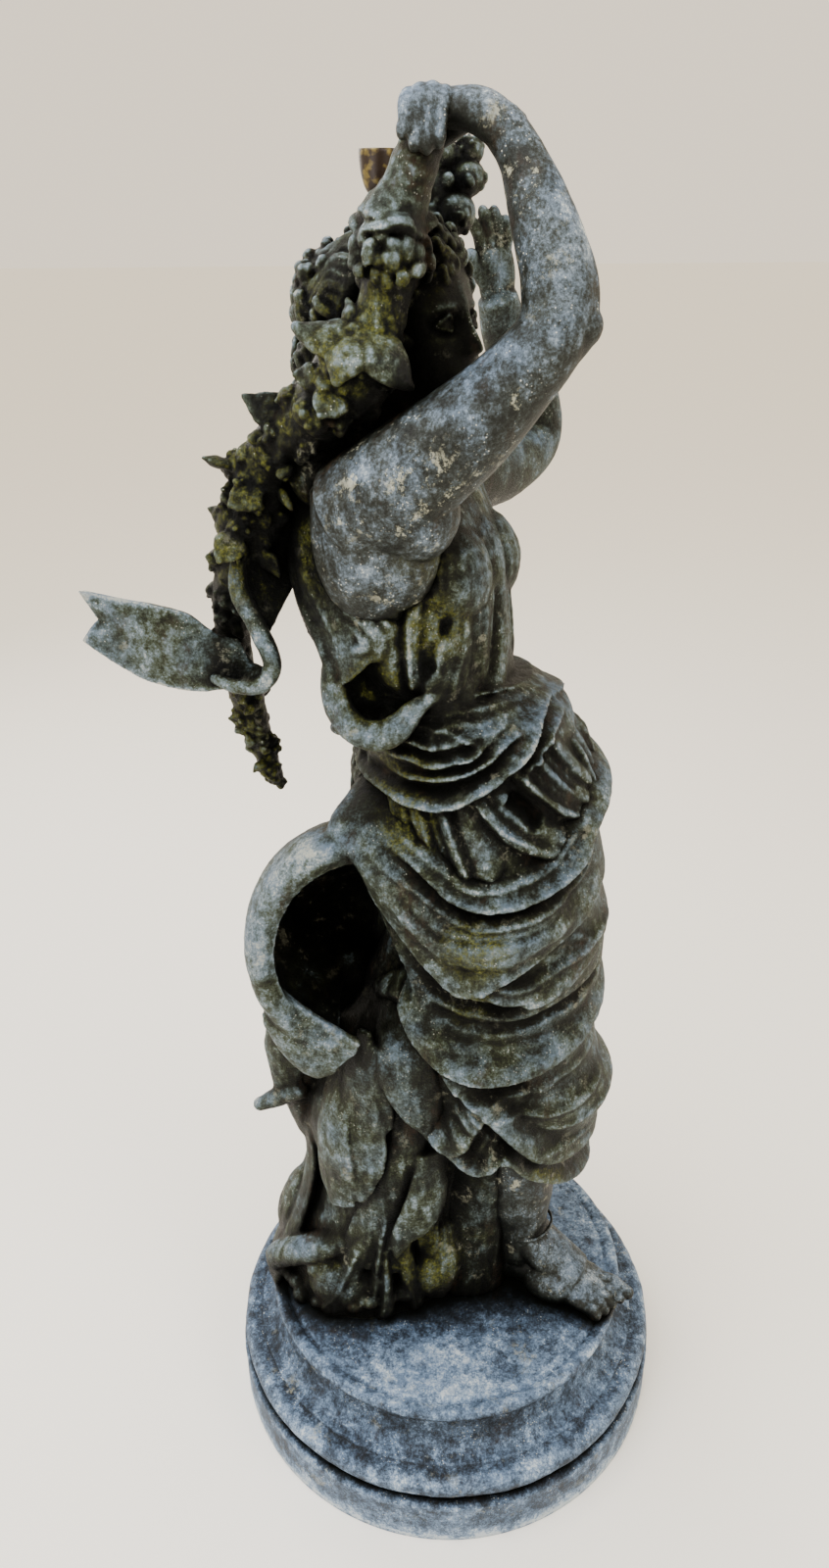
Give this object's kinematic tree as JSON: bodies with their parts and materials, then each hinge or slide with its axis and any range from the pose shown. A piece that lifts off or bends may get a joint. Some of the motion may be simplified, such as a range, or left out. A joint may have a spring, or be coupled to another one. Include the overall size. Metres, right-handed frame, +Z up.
{
  "type": "goddess statue",
  "caption": "Cast garden statue of a draped goddess on a moulded round plinth, one arm over her head holding a garland, a blown mantle at her side, a small brass cup on her crown.",
  "frame": {"origin": "centre of the round plinth's underside, which is flat on the ground", "axes": "+Z up, along the standing figure; +X the way the figure walks; -Y her right-hand side"},
  "size_m": [0.609, 0.5587, 1.4919],
  "materials": {
    "figure_metal": "weathered casting, grey-blue oxide on the heights, near black in the hollows, moss and brown stains",
    "plinth_metal": "weathered casting, mottled blue-white oxide over dark blue-grey",
    "cup_brass": "dull dark brass with yellow lichen"
  },
  "bodies": {
    "root": {"goddess_figure": "figure_metal", "plinth": "plinth_metal", "brass_cup": "cup_brass"}
  },
  "joints": []
}
